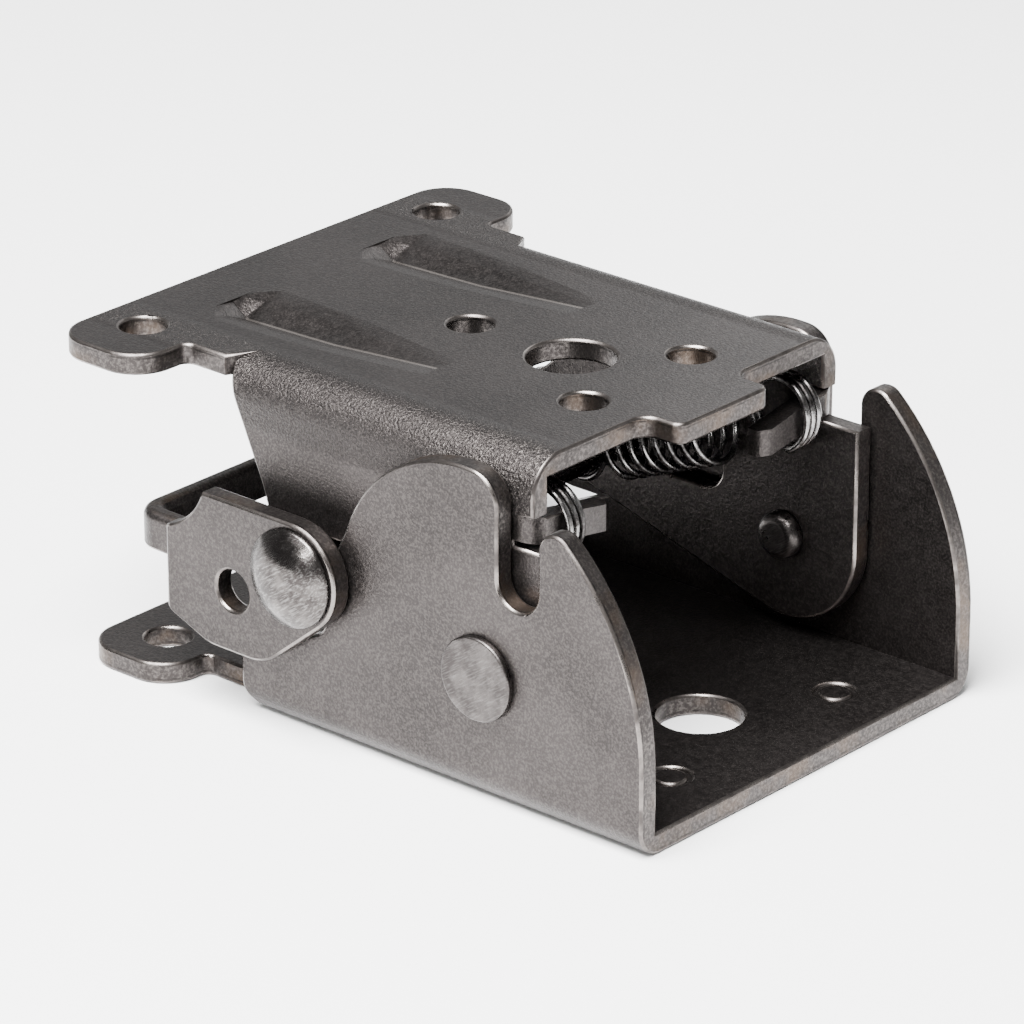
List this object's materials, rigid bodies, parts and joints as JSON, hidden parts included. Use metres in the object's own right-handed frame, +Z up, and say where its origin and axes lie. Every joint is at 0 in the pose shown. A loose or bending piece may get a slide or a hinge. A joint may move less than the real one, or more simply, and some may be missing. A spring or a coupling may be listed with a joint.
{
  "type": "folding table leg bracket",
  "caption": "Folding table leg bracket of pressed steel: a leg plate hinged in a channel base, with a sprung lock pin and a release handle.",
  "frame": {"origin": "on the underside of the lower bracket, below the pivot, on the mid-plane", "axes": "+X towards the open front end, +Y along the pivot line to the far side, +Z up from the lower bracket's floor to the upper bracket's plate; shown folded"},
  "size_m": [0.0849, 0.0687, 0.041],
  "materials": {
    "dark_sheet": "satin",
    "bright_steel": "satin",
    "pin_steel": "satin",
    "spring_wire": "satin"
  },
  "bodies": {
    "lower": {"lower_bracket": "dark_sheet", "pivot_rivet_near": "bright_steel", "pivot_rivet_far": "bright_steel"},
    "upper": {"upper_bracket": "dark_sheet", "spring_near": "spring_wire", "spring_far": "spring_wire"},
    "lock": {"handle": "dark_sheet", "lock_pin": "pin_steel"}
  },
  "joints": [
    {"name": "leg_fold", "type": "hinge", "parent": "lower", "child": "upper", "pos_m": [0, 0, 0.015], "axis": [0, 1, 0], "range_deg": [0, 90]},
    {"name": "lock_slide", "type": "slide", "parent": "upper", "child": "lock", "axis": [-1, 0, 0], "range_m": [0, 0.0039], "deforming": ["spring_near", "spring_far"]}
  ],
  "couplings": [
    {"joint": "lock_slide", "follows": "leg_fold", "m_per_rad": 0.002482}
  ]
}
